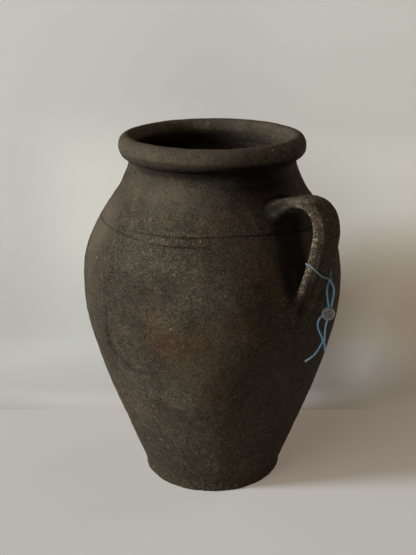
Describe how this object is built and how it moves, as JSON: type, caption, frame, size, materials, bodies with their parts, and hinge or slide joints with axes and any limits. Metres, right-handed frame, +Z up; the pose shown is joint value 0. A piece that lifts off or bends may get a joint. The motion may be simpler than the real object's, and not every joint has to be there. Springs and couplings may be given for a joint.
{
  "type": "one-handled storage jar",
  "caption": "Tall fired-clay storage jar with a swelling body, rolled rim and one strap handle; a lead seal hangs from it on a blue string.",
  "frame": {"origin": "centre of the jar's underside, on the surface that it stands on", "axes": "+Z up along the jar's turning axis, +X towards the handle, +Y completes a right-handed frame"},
  "size_m": [0.3255, 0.2916, 0.4],
  "materials": {
    "clay": "matt, dark umber fired clay with brown and grey-green patches, pitted and dusty",
    "handle_clay": "matt, fired clay rubbed to a light tan along the strap's edges",
    "string": "light blue twisted synthetic string",
    "lead": "dull grey pressed lead with fine ridges"
  },
  "bodies": {
    "jar": {"base_disc": "clay", "lower_wall": "clay", "shoulder_and_neck": "clay", "rolled_rim": "clay", "strap_handle": "handle_clay", "string_loop": "string", "knot_end": "string"},
    "knot": {"upper_knot": "string"},
    "tag": {"long_strand": "string", "short_strand": "string", "lead_seal": "lead", "lower_knot": "string", "long_tail": "string", "short_tail": "string"}
  },
  "joints": [
    {"name": "tag_sway", "type": "hinge", "parent": "jar", "child": "knot", "pos_m": [0.1633, 0.016, 0.2702], "axis": [1, 0, 0], "range_deg": [-5, 70]},
    {"name": "tag_lift", "type": "hinge", "parent": "knot", "child": "tag", "pos_m": [0.1633, 0.016, 0.2702], "axis": [0, -1, 0], "range_deg": [-2, 60]}
  ]
}
